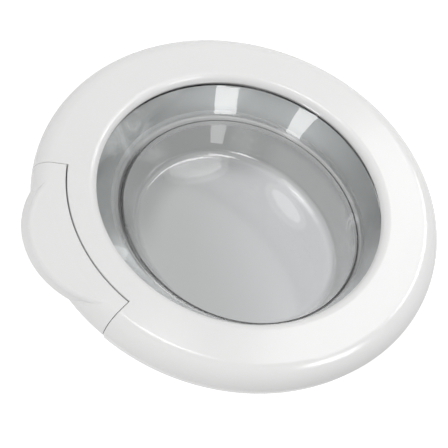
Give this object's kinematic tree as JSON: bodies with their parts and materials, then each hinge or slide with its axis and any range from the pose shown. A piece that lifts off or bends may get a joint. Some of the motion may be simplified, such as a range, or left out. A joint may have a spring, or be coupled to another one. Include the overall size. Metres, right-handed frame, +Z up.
{
  "type": "washing machine door",
  "caption": "Round front-loader washing machine door: white ring with a sprung crescent lever and latch hook, grey rear ring, leaning clear glass bowl and a side hinge.",
  "frame": {"origin": "on the door's axis, in the plane of the cabinet front that the door closes against", "axes": "+Z up, front of the door faces -Y, +Y goes into the machine, +X to the handle side, -X to the hinge side"},
  "size_m": [0.4327, 0.1143, 0.418],
  "materials": {
    "white_plastic": "glossy moulded",
    "grey_plastic": "satin moulded",
    "clear_glass": "clear pressed",
    "dark_rubber": "matt",
    "steel": "zinc plated",
    "dark_steel": "blackened",
    "zinc": "die cast",
    "aluminium": "die cast",
    "bush_plastic": "matt"
  },
  "bodies": {
    "cabinet_hinge": {"hinge_bracket": "aluminium", "hinge_bush_upper": "bush_plastic", "hinge_bush_lower": "bush_plastic"},
    "door": {"outer_frame": "white_plastic", "inner_frame": "grey_plastic", "glass_bowl": "clear_glass", "glass_gasket": "dark_rubber", "latch_carrier": "zinc", "hook_pin": "steel", "hook_pin_clip": "dark_steel", "hook_spring": "steel", "carrier_screws": "steel", "hinge_leaf": "aluminium", "hinge_pin": "steel", "hinge_pin_clip": "dark_steel", "hinge_screws": "steel", "frame_screws": "steel"},
    "lever": {"handle": "white_plastic", "handle_pin": "steel"},
    "hook": {"latch_hook": "zinc"}
  },
  "joints": [
    {"name": "door_swing", "type": "hinge", "parent": "cabinet_hinge", "child": "door", "pos_m": [-0.193, -0.021, 0], "axis": [0, 0, -1], "range_deg": [0, 130]},
    {"name": "lever_pull", "type": "hinge", "parent": "door", "child": "lever", "pos_m": [0.1805, -0.031, 0], "axis": [0, 0, -1], "range_deg": [0, 15], "stiffness_Nm_per_rad": 0.8},
    {"name": "hook_turn", "type": "hinge", "parent": "door", "child": "hook", "pos_m": [0.186, -0.017, 0], "axis": [0, 0, 1], "range_deg": [0, 11.25], "deforming": ["hook_spring"]}
  ],
  "couplings": [
    {"joint": "hook_turn", "follows": "lever_pull", "ratio": 0.75}
  ]
}
